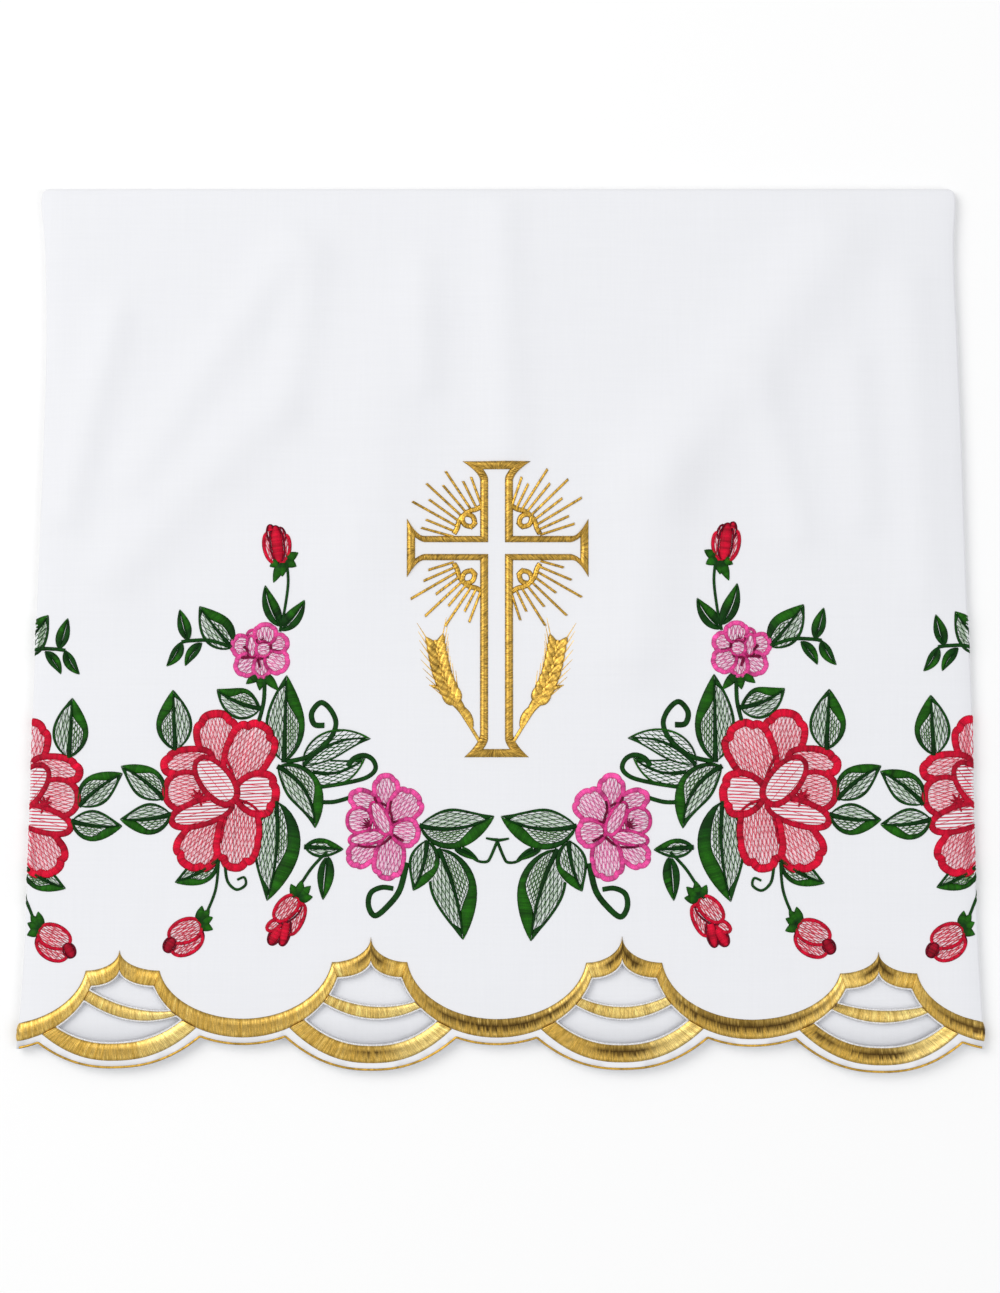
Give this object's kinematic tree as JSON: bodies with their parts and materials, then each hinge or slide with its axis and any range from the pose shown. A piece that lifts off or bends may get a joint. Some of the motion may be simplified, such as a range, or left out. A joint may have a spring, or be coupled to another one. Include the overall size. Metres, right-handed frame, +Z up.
{
  "type": "altar cloth",
  "caption": "Folded white linen altar cloth with a scalloped gold satin border, cut openings, embroidered roses and a rayed cross",
  "frame": {"origin": "under the middle of the folded cloth, on the surface that it lies on", "axes": "+X to the right along the scalloped hem, +Y towards the top fold, +Z up out of the embroidered face"},
  "size_m": [0.5003, 0.4645, 0.0101],
  "materials": {
    "linen": "matte",
    "gold_thread": "satin",
    "red_thread": "satin",
    "pink_thread": "satin",
    "green_thread": "satin"
  },
  "bodies": {
    "root": {"cloth": "linen", "border_satin": "gold_thread", "cross_satin": "gold_thread"}
  },
  "joints": []
}
